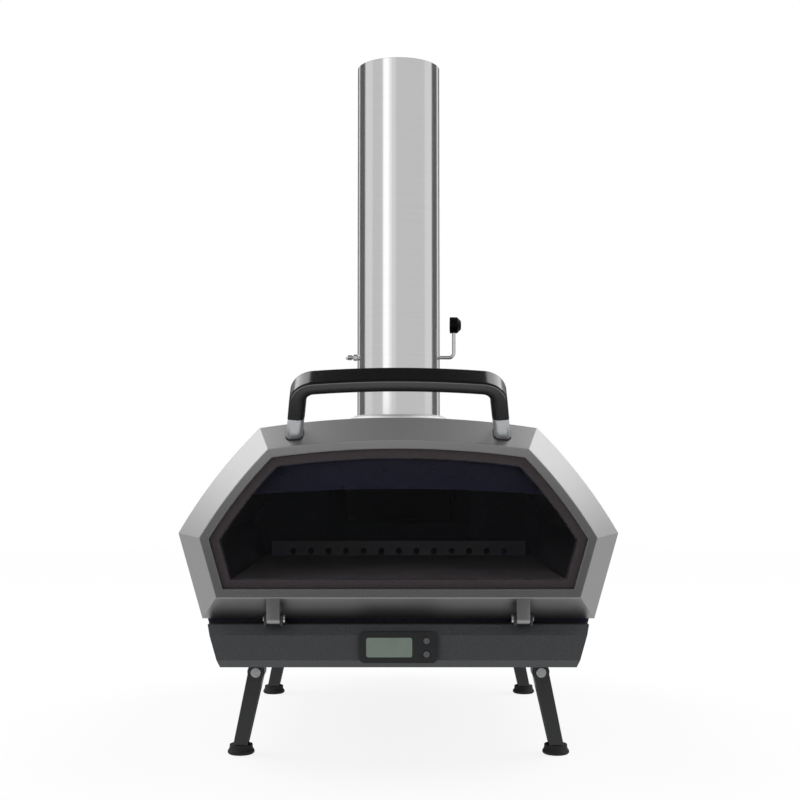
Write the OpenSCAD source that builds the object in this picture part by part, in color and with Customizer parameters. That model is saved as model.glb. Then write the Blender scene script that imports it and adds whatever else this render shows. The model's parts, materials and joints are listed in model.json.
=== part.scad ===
// Outdoor wood fired pizza oven with a chimney, a glazed drop-down door and folding legs.
// Millimetres, +Z up, the door faces -Y. The origin is under the middle of the whole oven.
// Depths named "v" run back from the front face of the door ring.

/* [Front outline] */
// Width of the arched crown between its corners
crown_w = 342; // [330:1:352]
// Rise of the crown's arch
crown_rise = 13; // [9:0.5:18]
// Height of the crown above the ground
crown_z = 424; // [418:1:432]
// Width across the shoulders, the widest line
shoulder_w = 540; // [532:1:556]
// Height of the shoulders above the ground
shoulder_z = 282; // [276:1:290]
// Radius of the bowed upper sides
side_r = 605; // [480:5:900]
// Width of the casing at its underside
base_w = 446; // [438:1:456]
// Height of the casing's underside above the ground
base_z = 120; // [112:1:124]

/* [Casing] */
// Length of the casing between front plate and back panel
casing_len = 520; // [500:1:560]
// Thickness of the casing sheet
sheet_t = 1.2; // [0.8:0.1:2]
// How far the casing lies inside the outline of the door
casing_setback = 4; // [3:0.5:4.5]
// Thickness of the fibre blanket
fibre_t = 25; // [22:0.5:25.5]
// Thickness of the chamber liner
liner_t = 1; // [0.8:0.1:1.5]
// Thickness of the front plate and the back panel
plate_t = 2; // [1.5:0.1:3]
// Height of the chamber floor above the underside
floor_rise = 60; // [56:1:62]
// Thickness of the base pan
pan_t = 2; // [1.5:0.1:3]

/* [Chamber] */
// Clearance between the baking stone and the chamber's flanks
stone_gap = 2.8; // [2:0.1:5]
// Space in front of the baking stone
stone_front = 13; // [8:1:20]
// Depth of the fire space behind the baking stone
fire_room = 83; // [70:1:95]
// Thickness of the baking stone
stone_t = 15; // [12:0.5:18]
// Height of the rails under the stone
rail_h = 26; // [22:1:28]
// Height of the mouth's arch at its middle
mouth_z = 336; // [326:1:344]
// Radius of the mouth's arch
mouth_r = 2290; // [1500:10:4000]
// Height of the flame guard behind the stone
guard_h = 63; // [50:1:80]

/* [Door] */
// Height of the door's lower edge above the ground
door_z = 178; // [176:1:182]
// Depth of the sloping facets round the door
facet_d = 34; // [32:0.5:36]
// Inset of the front ring from the outline
facet_in = 28.5; // [27:0.5:30]
// Depth of the straight rim behind the facets
rim_d = 10; // [9:0.5:14]
// Width of the flat front ring
ring_w = 10.3; // [9:0.1:12]
// Thickness of the ring in front of the glass
lip_t = 6; // [5:0.5:7]
// Thickness of the glass
glass_t = 4; // [3:0.5:5]
// Width of the dark gasket seen inside the ring
gasket_show = 11; // [8:0.5:14]
// Thickness of each glass gasket
gasket_t = 2; // [1.5:0.5:3]
// Gap behind the door filled by the seal
seal_gap = 3; // [2.5:0.5:5]
// Distance of each hinge from the middle
hinge_x = 150; // [130:1:165]
// Diameter of the door's hinge pins
hinge_pin_d = 6; // [5:0.5:7]

/* [Handle] */
// Distance between the middles of the handle posts at the door
handle_w = 253; // [240:1:262]
// Reach of the grip's middle from the facet
handle_reach = 80.5; // [74:0.5:90]
// Thickness of the grip across the bar
grip_t = 20.5; // [18:0.5:23]
// Width of the grip from back to front
grip_w = 27; // [22:0.5:29]
// Inward lean of the handle's legs in degrees
leg_lean = 7.2; // [5:0.2:9]
// Inner radius of the grip's corners
grip_inner_r = 10.5; // [7:0.5:14]
// Radius of the bowed bar
grip_bow_r = 1130; // [800:10:2000]
// Length of the bare posts under the grip
post_h = 31.5; // [26:0.5:36]
// Depth of the handle's foot behind the door's front
handle_v = 18; // [15:0.5:19]

/* [Chimney] */
// Outside diameter of the chimney tube
flue_d = 116; // [112:1:120]
// Wall of the chimney tube
flue_t = 1; // [0.8:0.1:1.5]
// Height of the chimney's rim above the ground
flue_z = 928; // [880:1:960]
// Distance of the chimney behind the door's front
flue_v = 255; // [240:1:270]
// Diameter of the collar round the chimney's foot
collar_d = 134; // [132:1:140]
// Height of the collar's top above the ground
collar_z = 434; // [433:1:442]

/* [Damper] */
// Height of the damper's shaft above the ground
damper_z = 516; // [510:1:540]
// Diameter of the damper's shaft
rod_d = 5; // [4:0.5:6]
// Distance of the lever from the chimney's middle
lever_x = 78; // [76:1:84]
// Length of the lever from the shaft to the knob's middle
lever_h = 46; // [40:1:60]
// Diameter of the knob
knob_d = 22.9; // [20:0.1:26]
// Length of the knob
knob_len = 15.8; // [14:0.1:18]

/* [Fire box] */
// Width of the fire box
box_w = 260; // [250:1:280]
// Depth of the fire box behind the back panel
box_d = 110; // [104:1:120]
// Height of the fire box's floor above the ground
box_z = 122; // [120:1:124]
// Height of the upright rear wall's top above the ground
box_rear_z = 262; // [256:1:268]
// Height of the fire box's roof above the ground
box_top_z = 340; // [336:1:346]
// Run of the sloping face under the hatch
slope_run = 69; // [64:1:74]
// Thickness of the fire box's sheet
box_t = 2; // [1.5:0.1:2.5]
// Height of the fuel tray
tray_h = 70; // [66:1:72]
// Height of the grate above the tray's floor
grate_h = 18; // [14:1:24]
// Reach of the tray's handle from its face
tray_reach = 28; // [24:1:36]

/* [Legs] */
// Distance of each leg's pivot from the underside's edge
leg_in = 43; // [36:1:52]
// Distance of the pivots below the base pan
leg_drop = 14; // [13.5:0.5:16]
// Outward splay of the legs in degrees
leg_splay = 12; // [8:0.5:14]
// Width of each leg along the oven
leg_w = 24; // [20:1:28]
// Diameter of the leg pins
leg_pin_d = 8; // [6:0.5:9]
// Height of the rubber feet
foot_h = 12; // [10:1:16]
// Diameter of the rubber feet at the ground
foot_d = 34; // [30:1:38]

/* [Thermometer] */
// Width of the thermometer's bezel
gauge_w = 96; // [90:1:104]
// Height of the thermometer's bezel
gauge_h = 38; // [34:1:40]
// Diameter of the two buttons
button_d = 8; // [7:0.5:9]
// Diameter of the temperature probe
probe_d = 4; // [3:0.5:5]

/* [Clearances] */
// Gap between pieces that lie loosely together
loose = 0.3; // [0.2:0.05:0.35]
// Radial clearance of a shaft that turns in a bore
running = 0.05; // [0.03:0.01:0.08]

/* [Hidden] */
$fn = 64;
arc_fn = 360;
span = 1000;

crown_half = crown_w / 2;
crown_corner_z = crown_z - crown_rise;
crown_r = (crown_half * crown_half + crown_rise * crown_rise) / (2 * crown_rise);
crown_cz = crown_z - crown_r;
shoulder_half = shoulder_w / 2;
flare = atan((shoulder_half - base_w / 2) / (shoulder_z - base_z));
chord = [shoulder_half - crown_half, shoulder_z - crown_corner_z];
chord_n = [chord.y, -chord.x] / norm(chord);
side_c = [crown_half, crown_corner_z] + chord / 2
         + chord_n * sqrt(side_r * side_r - norm(chord) * norm(chord) / 4);

shell_in = casing_setback + sheet_t;
fibre_out = shell_in + loose;
fibre_in = fibre_out + fibre_t;
liner_out = fibre_in + loose;
liner_in = liner_out + liner_t;
floor_z = base_z + floor_rise;
stone_z = floor_z + rail_h;
sill_z = stone_z + stone_t - 1;
stone_w = 2 * floor(flank_at(stone_z, liner_in) - stone_gap);
stone_l = casing_len - stone_front - fire_room;
leg_x = base_w / 2 - leg_in;

door_back = facet_d + rim_d;
front_v = door_back + seal_gap;
shell_v = front_v + plate_t;
back_v = shell_v + casing_len;
box_v = back_v + plate_t;
box_end = box_v + box_d;
stone_v = shell_v + stone_front;
guard_v = stone_v + stone_l + 10;

open_in = facet_in + ring_w;
pocket_in = facet_in + 2.5;
ledge_v = lip_t + 2 * gasket_t + glass_t;
ledge_in = facet_in * (1 - ledge_v / facet_d) + 6.5;
retainer_t = 1.5;
post_gasket_t = 1.5;
screw_in = (ledge_in + pocket_in) / 2;
mouth_in = open_in + gasket_show - 4;
hinge_v = 7;
hinge_z = door_z + 3;
hinge_r = hinge_pin_d / 2 + 3.5;
fascia_v = 16;
fascia_z = door_z - 6;
facet_lean = atan2(facet_in, facet_d);

flue_r = flue_d / 2;
flue_in = flue_r - flue_t;
stub_r = flue_in - loose;
shell_top = crown_z - casing_setback;
seat_z = shell_top + 3;
bend_r = 7;

slope = [-slope_run, box_top_z - box_rear_z];
slope_len = norm(slope);
slope_tilt = atan2(slope.y, -slope.x);
tray_face_v = box_end + 1;
tray_face_t = 2.5;
grip_d = 14;
rear_v = tray_face_v + tray_face_t + tray_reach + grip_d / 2;

pivot_z = base_z - pan_t - leg_drop;
leg_front_v = front_v + 53;
leg_rear_v = back_v - 55;

// Centre line of the handle's right half: leg, corner and bowed bar
corner_r = grip_t / 2 + grip_inner_r;
leg_u = [-sin(leg_lean), cos(leg_lean)];
leg_n = [-cos(leg_lean), -sin(leg_lean)];
leg_0 = [handle_w / 2, 0];
bow_c = [0, handle_reach - grip_bow_r];
to_c = leg_0 + corner_r * leg_n - bow_c;
half_b = to_c * leg_u;
corner_s = -half_b + sqrt(half_b * half_b - to_c * to_c + pow(grip_bow_r - corner_r, 2));
corner_c = leg_0 + corner_s * leg_u + corner_r * leg_n;
bow_end = 90 - acos((corner_c.x - bow_c.x) / (grip_bow_r - corner_r));
corner_a = [for (i = [0:10]) leg_lean + (90 - bow_end - leg_lean) * i / 10];
half_path = concat(
    [for (s = [post_h, (post_h + corner_s) / 2]) [leg_0 + s * leg_u, leg_lean]],
    [for (a = corner_a) [corner_c + corner_r * [cos(a), sin(a)], a]],
    [for (i = [1:6]) let (a = 90 - bow_end * (1 - i / 6))
        [bow_c + grip_bow_r * [cos(a), sin(a)], a]]);
grip_path = concat(half_path,
    [for (i = [len(half_path) - 2:-1:0])
        [[-half_path[i][0].x, half_path[i][0].y], 180 - half_path[i][1]]]);

handle_z = crown_at(handle_w / 2, facet_in * (1 - handle_v / facet_d));
grip_h = grip_t / 2;
grip_edge = 3;
grip_soft = 0.46 * grip_t;
post_w = grip_w - 3;
// Foremost line of the leaning grip
front_reach = handle_v - handle_reach * sin(facet_lean) - grip_edge
              - (grip_h - grip_edge) * sin(facet_lean) - (grip_w / 2 - grip_edge) * cos(facet_lean);
mid_v = (front_reach + rear_v) / 2;

function crown_at(x, d) = crown_cz + sqrt(pow(crown_r - d, 2) - x * x);
function side_at(z, d) = side_c.x + sqrt(pow(side_r - d, 2) - pow(z - side_c.y, 2));
function flank_at(z, d) = shoulder_half - (shoulder_z - z) * tan(flare) - d / cos(flare);

screw_spots = let (top = crown_half * 0.62, z1 = crown_corner_z - 62, z2 = shoulder_z - 30)
    concat([[0, crown_at(0, screw_in)]],
        [for (s = [-1, 1]) [s * top, crown_at(top, screw_in)]],
        [for (s = [-1, 1]) [s * side_at(z1, screw_in), z1]],
        [for (s = [-1, 1]) [s * flank_at(z2, screw_in), z2]],
        [for (s = [-1, 0, 1]) [s * 95, door_z + screw_in]]);

// Moves depths measured from the door's front into the part's frame
module in_frame() {
    translate([0, -mid_v, 0]) children();
}

module along_y(v0, v1) {
    translate([0, v1, 0]) rotate([90, 0, 0]) linear_extrude(v1 - v0) children();
}

module along_x(x0, x1) {
    translate([x0, 0, 0]) rotate([90, 0, 90]) linear_extrude(x1 - x0) children();
}

module both_sides() {
    children();
    mirror([1, 0, 0]) children();
}

module rounded(w, h, r) {
    square([w - 2 * r, h], center = true);
    square([w, h - 2 * r], center = true);
    for (x = [-1, 1], y = [-1, 1])
        translate([x * (w / 2 - r), y * (h / 2 - r)]) circle(r);
}

// Cross-section of the oven, drawn d inside the door's outline and cut off at z_min
module section(d, z_min) {
    intersection() {
        translate([0, crown_cz]) circle(crown_r - d, $fn = 4 * arc_fn);
        translate(side_c) circle(side_r - d, $fn = 2 * arc_fn);
        translate([-side_c.x, side_c.y]) circle(side_r - d, $fn = 2 * arc_fn);
        polygon([[-flank_at(z_min, d), z_min], [flank_at(z_min, d), z_min],
                 [flank_at(span, d), span], [-flank_at(span, d), span]]);
    }
}

module ring_y(v0, v1, d_out, d_in) {
    along_y(v0, v1) difference() {
        section(d_out, door_z + d_out);
        section(d_in, door_z + d_in);
    }
}

// Cone about an axis along Y, for one sloping facet
module facet_cone(c, v0, v1, r0, r1) {
    translate([c.x, v0, c.y]) rotate([-90, 0, 0]) cylinder(h = v1 - v0, r1 = r0, r2 = r1, $fn = 2 * arc_fn);
}

// Solid with the door's outline, running in from the rear edge to the front ring
module faceted_block() {
    intersection() {
        facet_cone([0, crown_cz], 0, facet_d, crown_r - facet_in, crown_r);
        facet_cone(side_c, 0, facet_d, side_r - facet_in, side_r);
        facet_cone([-side_c.x, side_c.y], 0, facet_d, side_r - facet_in, side_r);
        both_flanks();
        along_x(-span, span)
            polygon([[0, door_z + facet_in], [facet_d, door_z], [facet_d, span], [0, span]]);
    }
}

module both_flanks() {
    intersection() {
        flank();
        mirror([1, 0, 0]) flank();
    }
}

module flank() {
    translate([shoulder_half, 0, shoulder_z]) rotate([0, flare, 0])
        translate([0, 0, -span]) linear_extrude(2 * span)
            polygon([[-span, 0], [-facet_in, 0], [0, facet_d], [-span, facet_d]]);
}

module at_flue() {
    translate([0, flue_v, 0]) children();
}

module at_damper() {
    translate([0, flue_v, damper_z]) children();
}

// Frame of the handle: x across, y out of the top facet, z toward the front
module at_handle() {
    translate([0, handle_v, handle_z]) rotate([90 + facet_lean, 0, 0]) children();
}

// Frame of the sloping fire box face: x across, y up the slope, z outward
module at_slope() {
    translate([0, box_end, box_rear_z]) rotate([180 - slope_tilt, 0, 0]) rotate([0, 180, 0]) children();
}

module outer_shell() {
    color("#3b3d40") in_frame() difference() {
        along_y(shell_v, back_v) difference() {
            section(casing_setback, base_z);
            section(shell_in, base_z + sheet_t);
            translate([-(base_w / 2 - 34), base_z - 1]) square([base_w - 68, sheet_t + 2]);
        }
        at_flue() translate([0, 0, floor_z]) cylinder(h = span, r = flue_r + 4);
        for (a = [45:90:315])
            at_flue() rotate(a) translate([collar_d / 2 + 6.5, 0, floor_z]) cylinder(h = span, r = 1.5);
    }
}

module base_pan() {
    color("#2b2c2e") in_frame() difference() {
        translate([-(base_w / 2 - 3), front_v, base_z - pan_t])
            cube([base_w - 6, box_v - front_v, pan_t]);
        for (x = [-90:36:90], v = [front_v + 150, front_v + 290])
            translate([x, v, base_z - pan_t - 1]) linear_extrude(pan_t + 2) rounded(10, 90, 4.9);
    }
}

module front_plate() {
    color("#1d1d22") in_frame() difference() {
        along_y(front_v, shell_v) difference() {
            section(casing_setback, base_z);
            intersection() {
                section(mouth_in, sill_z);
                translate([0, mouth_z - mouth_r]) circle(mouth_r, $fn = 6 * arc_fn);
            }
        }
        translate([0, front_v - 1, probe_z]) rotate([-90, 0, 0])
            cylinder(h = plate_t + 2, r = probe_d / 2 + 0.6);
    }
}

module back_panel() {
    color("#3b3d40") in_frame() along_y(back_v, box_v) difference() {
        section(casing_setback, base_z);
        translate([-(box_w / 2 - 14), floor_z + 2]) square([box_w - 28, box_top_z - floor_z - 16]);
    }
}

module fibre_blanket() {
    color("#d8d6d0") in_frame() difference() {
        along_y(shell_v + loose, back_v - loose) difference() {
            section(fibre_out, base_z + sheet_t + loose);
            section(fibre_in, floor_z - liner_t - loose);
        }
        at_flue() translate([0, 0, floor_z]) cylinder(h = span, r = stub_r + 0.6);
        probe_line(probe_d / 2 + 0.6);
    }
}

module chamber_liner() {
    color("#8d8f92") in_frame() difference() {
        along_y(shell_v, back_v) difference() {
            section(liner_out, floor_z - liner_t);
            section(liner_in, floor_z);
        }
        at_flue() translate([0, 0, floor_z + 20]) cylinder(h = span, r = stub_r - flue_t);
        probe_line(probe_d / 2 + 0.6);
    }
}

rail_x = stone_w / 2 - 60;
module stone_rails() {
    color("#8d8f92") in_frame() both_sides() translate([rail_x, stone_v + 8, floor_z]) difference() {
        translate([-12, 0, 0]) cube([24, stone_l - 16, rail_h]);
        translate([-10.5, -1, -1]) cube([21, stone_l - 14, rail_h - 0.5]);
    }
}

module baking_stone() {
    color("#cdbfa8") in_frame() translate([0, stone_v + stone_l / 2, stone_z])
        linear_extrude(stone_t) rounded(stone_w, stone_l, 8);
}

guard_w = stone_w - 20;
module flame_guard() {
    color("#77797c") in_frame() difference() {
        union() {
            translate([-guard_w / 2, guard_v, floor_z]) cube([guard_w, 2, guard_h]);
            translate([-guard_w / 2, guard_v, floor_z]) cube([guard_w, 24, 2]);
        }
        for (x = [-6:6])
            translate([x * 28, guard_v + 1, floor_z + guard_h - 16]) rotate([90, 0, 0])
                cylinder(h = 6, r = 5, center = true);
    }
}

module door_seal() {
    color("#232323") in_frame() ring_y(door_back + loose, front_v, casing_setback + 1, casing_setback + 7);
}

fascia_t = 1.6;
gauge_z = (base_z + fascia_z) / 2;
probe_z = gauge_z;

module fascia_profile(t) {
    polygon([[front_v + t * 2, base_z + t], [fascia_v + 10, base_z + t],
             [fascia_v + t, base_z + 10 + t * 0.4], [fascia_v + t, fascia_z - 12 - t * 0.4],
             [fascia_v + 8 + t * 0.4, fascia_z - t], [front_v + t * 2, fascia_z - t]]);
}

module front_fascia() {
    color("#3b3d40") in_frame() difference() {
        intersection() {
            along_x(-span, span) fascia_profile(0);
            along_y(0, front_v) section(casing_setback + 2, base_z - 1);
        }
        intersection() {
            along_x(-span, span) fascia_profile(fascia_t);
            along_y(-1, front_v + 10) section(casing_setback + 2 + fascia_t, base_z - 1);
        }
        translate([0, 0, gauge_z]) along_y(fascia_v - 1, fascia_v + 4)
            rounded(gauge_w - 8, gauge_h - 8, 5);
    }
}

module flue_stub() {
    color("#a9abad") in_frame() difference() {
        at_flue() translate([0, 0, shoulder_z]) difference() {
            cylinder(h = collar_z + 12 - shoulder_z, r = stub_r);
            translate([0, 0, -1]) cylinder(h = span, r = stub_r - flue_t);
        }
        along_y(shell_v, back_v) section(liner_out, floor_z);
    }
}

module chimney_collar() {
    r = collar_d / 2;
    color("#8f9193") in_frame() difference() {
        at_flue() rotate_extrude($fn = 128)
            polygon([[flue_in, shell_top - 8], [r + 13, shell_top - 8], [r + 13, seat_z],
                     [r + 11.5, seat_z + 1.5], [r + 2, seat_z + 1.5], [r, seat_z + 3.5],
                     [r, collar_z - 3.4], [flue_r + 1.5, collar_z], [flue_r + loose, collar_z],
                     [flue_r + loose, seat_z], [flue_in, seat_z]]);
        along_y(shell_v, back_v) section(casing_setback, floor_z);
        for (a = [45:90:315])
            at_flue() rotate(a) translate([r + 6.5, 0, floor_z]) cylinder(h = span, r = 1.5);
    }
}

module collar_screws() {
    color("#b9bbbd") in_frame() for (a = [45:90:315])
        at_flue() rotate(a) translate([collar_d / 2 + 6.5, 0, seat_z + 1.5]) {
            cylinder(h = 2, r1 = 3.2, r2 = 2.4);
            translate([0, 0, -6.5]) cylinder(h = 6.5, r = 1.5);
        }
}

module chimney_tube() {
    color("#c9cbcd") in_frame() difference() {
        at_flue() translate([0, 0, seat_z + loose]) difference() {
            cylinder(h = flue_z - seat_z - loose, r = flue_r, $fn = 128);
            translate([0, 0, -1]) cylinder(h = span, r = flue_in, $fn = 128);
        }
        at_damper() rotate([0, 90, 0]) cylinder(h = 2 * span, r = rod_d / 2 + running, center = true);
    }
}

tip_x = flue_r + 14;
module damper_rod() {
    color("#b4b6b8") in_frame() at_damper() {
        translate([-tip_x, 0, 0]) rotate([0, 90, 0]) cylinder(h = tip_x + lever_x - bend_r, r = rod_d / 2);
        translate([lever_x - bend_r, 0, bend_r]) rotate([90, 0, 0]) rotate(-90)
            rotate_extrude(angle = 90) translate([bend_r, 0]) circle(rod_d / 2);
        translate([lever_x, 0, bend_r]) cylinder(h = lever_h - 4 - bend_r, r = rod_d / 2);
    }
}

module damper_plate() {
    color("#9c9ea0") in_frame() at_damper() translate([0, rod_d / 2 + 1.5, 0])
        rotate([90, 0, 0]) cylinder(h = 1.5, r = flue_in - 1.5, $fn = 96);
}

module damper_clips() {
    color("#9c9ea0") in_frame() at_damper() for (x = [-1, 1]) difference() {
        translate([x * 28 - 5, -rod_d / 2 - 2, -rod_d / 2 - 5]) cube([10, rod_d + 2, rod_d + 10]);
        rotate([0, 90, 0]) cylinder(h = span, r = rod_d / 2, center = true);
        translate([-span / 2, 0, 0.3 - rod_d / 2]) cube([span, rod_d, rod_d - 0.6]);
    }
}

module damper_nut() {
    color("#6f7173") in_frame() at_damper() translate([-flue_r - 5.5, 0, 0]) rotate([0, 90, 0])
        difference() {
            cylinder(h = 5.2, r = rod_d / 2 + 2.1, $fn = 6);
            translate([0, 0, -1]) cylinder(h = 8, r = rod_d / 2);
        }
}

module damper_cap() {
    color("#b4b6b8") in_frame() at_damper() translate([-flue_r - 16.5, 0, 0]) rotate([0, 90, 0])
        difference() {
            union() {
                cylinder(h = 3, r1 = rod_d / 2 - 0.5, r2 = rod_d / 2 + 1.1);
                translate([0, 0, 3]) cylinder(h = 5.5, r = rod_d / 2 + 1.1);
            }
            translate([0, 0, 2.5]) cylinder(h = 8, r = rod_d / 2);
        }
}

module damper_knob() {
    r = knob_d / 2;
    color("#17181a") in_frame() at_damper() difference() {
        translate([lever_x - 5.6, 0, lever_h]) rotate([0, 90, 0]) rotate_extrude()
            polygon([[0, 0], [r - 1, 0], [r, 1], [r, knob_len - 5.3], [r - 5, knob_len], [0, knob_len]]);
        translate([lever_x, 0, 0]) cylinder(h = lever_h - 4, r = rod_d / 2);
    }
}

module door_frame() {
    color("#7d7d7f") in_frame() difference() {
        union() {
            faceted_block();
            along_y(facet_d - 0.2, door_back) section(0.5, door_z + 0.5);
            both_sides() along_x(hinge_x - 8, hinge_x + 8) {
                translate([hinge_v, hinge_z]) circle(hinge_r);
                translate([hinge_v - hinge_r, hinge_z]) square([2 * hinge_r, facet_in]);
            }
        }
        along_y(-1, door_back + 1) section(open_in, door_z + open_in);
        along_y(lip_t, door_back + 1) section(pocket_in, door_z + pocket_in);
        along_y(ledge_v, door_back + 1) section(ledge_in, door_z + ledge_in);
        along_y(facet_d - 8, door_back + 1) section(12, door_z + 12);
        for (p = screw_spots)
            translate([p.x, ledge_v - 6, p.y]) rotate([-90, 0, 0]) cylinder(h = 20, r = 1.75);
        translate([0, hinge_v, hinge_z]) rotate([0, 90, 0])
            cylinder(h = span, r = hinge_pin_d / 2 + running, center = true);
    }
}

module front_gasket() {
    color("#342d2f") in_frame() ring_y(lip_t, lip_t + gasket_t, pocket_in + loose, open_in + gasket_show);
}

module door_glass() {
    color("#1f2230") in_frame() along_y(lip_t + gasket_t, lip_t + gasket_t + glass_t)
        section(pocket_in + loose, door_z + pocket_in + loose);
}

module rear_gasket() {
    color("#2a2728") in_frame()
        ring_y(ledge_v - gasket_t, ledge_v, pocket_in + loose, open_in + gasket_show - 2);
}

module glass_retainer() {
    color("#9a9c9e") in_frame() difference() {
        ring_y(ledge_v, ledge_v + retainer_t, ledge_in + loose, open_in + gasket_show + 1);
        for (p = screw_spots)
            translate([p.x, ledge_v - 1, p.y]) rotate([-90, 0, 0]) cylinder(h = 5, r = 1.75);
    }
}

module retainer_screws() {
    color("#b9bbbd") in_frame() for (p = screw_spots)
        translate([p.x, ledge_v + retainer_t, p.y]) rotate([-90, 0, 0]) {
            cylinder(h = 1.8, r1 = 3, r2 = 2.2);
            translate([0, 0, -6]) cylinder(h = 6, r = 1.75);
        }
}

module at_posts() {
    for (s = [-1, 1])
        translate([s * handle_w / 2, 0, 0]) rotate(s * leg_lean) rotate([-90, 0, 0]) children();
}

// The door's faceted block, lifted off the top facet by h
module lifted_block(h) {
    translate([0, -h * sin(facet_lean), h * cos(facet_lean)]) faceted_block();
}

module post_gaskets() {
    color("#222224") in_frame() difference() {
        intersection() {
            at_handle() at_posts() translate([0, 0, -8]) linear_extrude(16)
                rounded(grip_t + 0.8, post_w + 1.4, 7.4);
            lifted_block(post_gasket_t);
        }
        faceted_block();
    }
}

module handle_posts() {
    color("#a3a5a7") in_frame() difference() {
        at_handle() at_posts() translate([0, 0, -8]) linear_extrude(post_h + 8)
            rounded(grip_t - 0.6, post_w, 7);
        lifted_block(post_gasket_t);
    }
}

// Grip section as [across the bar, toward the front], flat outside with rounded corners
grip_corners = [[1, 1, grip_edge], [-1, 1, grip_soft], [-1, -1, grip_soft], [1, -1, grip_edge]];
grip_section = [for (c = grip_corners, i = [0:3])
    let (a0 = c.x > 0 ? (c.y > 0 ? 0 : 270) : (c.y > 0 ? 90 : 180), a = a0 + 30 * i)
    [c.x * (grip_h - c[2]) + c[2] * cos(a), c.y * (grip_w / 2 - c[2]) + c[2] * sin(a)]];

module handle_grip() {
    n = len(grip_section);
    m = len(grip_path);
    points = [for (p = grip_path, s = grip_section)
        [p[0].x + s.x * cos(p[1]), p[0].y + s.x * sin(p[1]), s.y]];
    sides = [for (i = [0:m - 2], j = [0:n - 1])
        [i * n + j, i * n + (j + 1) % n, (i + 1) * n + (j + 1) % n, (i + 1) * n + j]];
    ends = [[for (j = [n - 1:-1:0]) j], [for (j = [0:n - 1]) (m - 1) * n + j]];
    color("#17181a") in_frame() at_handle() polyhedron(points, concat(sides, ends), convexity = 6);
}

module hinge_brackets() {
    color("#2b2c2e") in_frame() both_sides() difference() {
        union() {
            translate([hinge_x - 14, fascia_v + 10, fascia_z]) cube([28, front_v - fascia_v - 14, 2.5]);
            for (x = [-11.3, 8.3]) along_x(hinge_x + x, hinge_x + x + 3) {
                translate([hinge_v, hinge_z]) circle(hinge_r);
                polygon([[hinge_v - hinge_r + 0.3, hinge_z - 1], [hinge_v - 3, fascia_z + 1],
                         [fascia_v + 10, fascia_z], [front_v - 4, fascia_z], [front_v - 4, fascia_z + 2.5],
                         [hinge_v + 15, hinge_z - 4.5], [hinge_v + hinge_r - 1, hinge_z + 2.5]]);
            }
        }
        translate([0, hinge_v, hinge_z]) rotate([0, 90, 0]) cylinder(h = span, r = hinge_pin_d / 2);
    }
}

module hinge_pins() {
    color("#b4b6b8") in_frame() both_sides() translate([hinge_x, hinge_v, hinge_z]) rotate([0, 90, 0]) {
        cylinder(h = 25, r = hinge_pin_d / 2, center = true);
        translate([0, 0, -14]) cylinder(h = 2.4, r = hinge_pin_d / 2 + 2);
    }
}

button_x = gauge_w / 2 - 14;
module gauge_housing() {
    color("#17181a") in_frame() translate([0, 0, gauge_z]) difference() {
        union() {
            along_y(fascia_v - 5, fascia_v) rounded(gauge_w, gauge_h, 8);
            along_y(fascia_v, fascia_v + 18) rounded(gauge_w - 9, gauge_h - 9, 4.5);
        }
        translate([-11, 0, 0]) along_y(fascia_v - 6, fascia_v - 3.4) rounded(gauge_w - 40, gauge_h - 14, 3);
        for (z = [-1, 1]) translate([button_x, 0, z * 8]) rotate([-90, 0, 0])
            cylinder(h = fascia_v + 2, r = button_d / 2 + loose);
        rotate([-90, 0, 0]) cylinder(h = span, r = probe_d / 2);
    }
}

module gauge_lens() {
    color("#2c3a40") in_frame() translate([-11, 0, gauge_z]) along_y(fascia_v - 4.9, fascia_v - 3.4)
        rounded(gauge_w - 40.4, gauge_h - 14.4, 2.8);
}

module gauge_button(z) {
    color("#3a3c3f") in_frame() translate([button_x, fascia_v - 6.2, gauge_z + z]) rotate([-90, 0, 0])
        cylinder(h = 6.5, r = button_d / 2);
}

module power_button() {
    gauge_button(8);
}

module unit_button() {
    gauge_button(-8);
}

probe_v = stone_v + 90;
// Bent line of the probe from the thermometer to the stone, as a rod of radius r
module probe_line(r) {
    translate([0, fascia_v + 9, probe_z]) rotate([-90, 0, 0])
        cylinder(h = probe_v - 10 - fascia_v - 9, r = r);
    translate([0, probe_v - 10, probe_z + 10]) rotate([90, 0, 90]) rotate(-90)
        rotate_extrude(angle = 90) translate([10, 0]) circle(r);
    translate([0, probe_v, probe_z + 10]) cylinder(h = stone_z - loose - probe_z - 10, r = r);
}

module probe() {
    color("#b4b6b8") in_frame() probe_line(probe_d / 2);
}

slope_in = [-slope.y, slope.x] / slope_len;
slope_p = [box_end, box_rear_z] + box_t * slope_in;
inner_rear_z = slope_p.y + (box_end - box_t - slope_p.x) / slope.x * slope.y;
inner_roof_v = slope_p.x + (box_top_z - box_t - slope_p.y) / slope.y * slope.x;
knuckle_r = 4;
hatch_w = box_w - 30;
hatch_t = 2;
drop_w = hatch_w - 44;
knuckle_w = 20;
knuckle_x = hatch_w / 2 - 55;
hatch_pin_r = 2;
hatch_axis = [slope_len + 3, 6];
hatch_pos = [box_end, box_rear_z] + hatch_axis.x * slope / slope_len - hatch_axis.y * slope_in;
roof_v = box_end - slope_run;
runner_h = 4;
tray_w = box_w - 44;
tray_z = box_z + box_t + runner_h + loose;
tray_t = 1.2;

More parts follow.
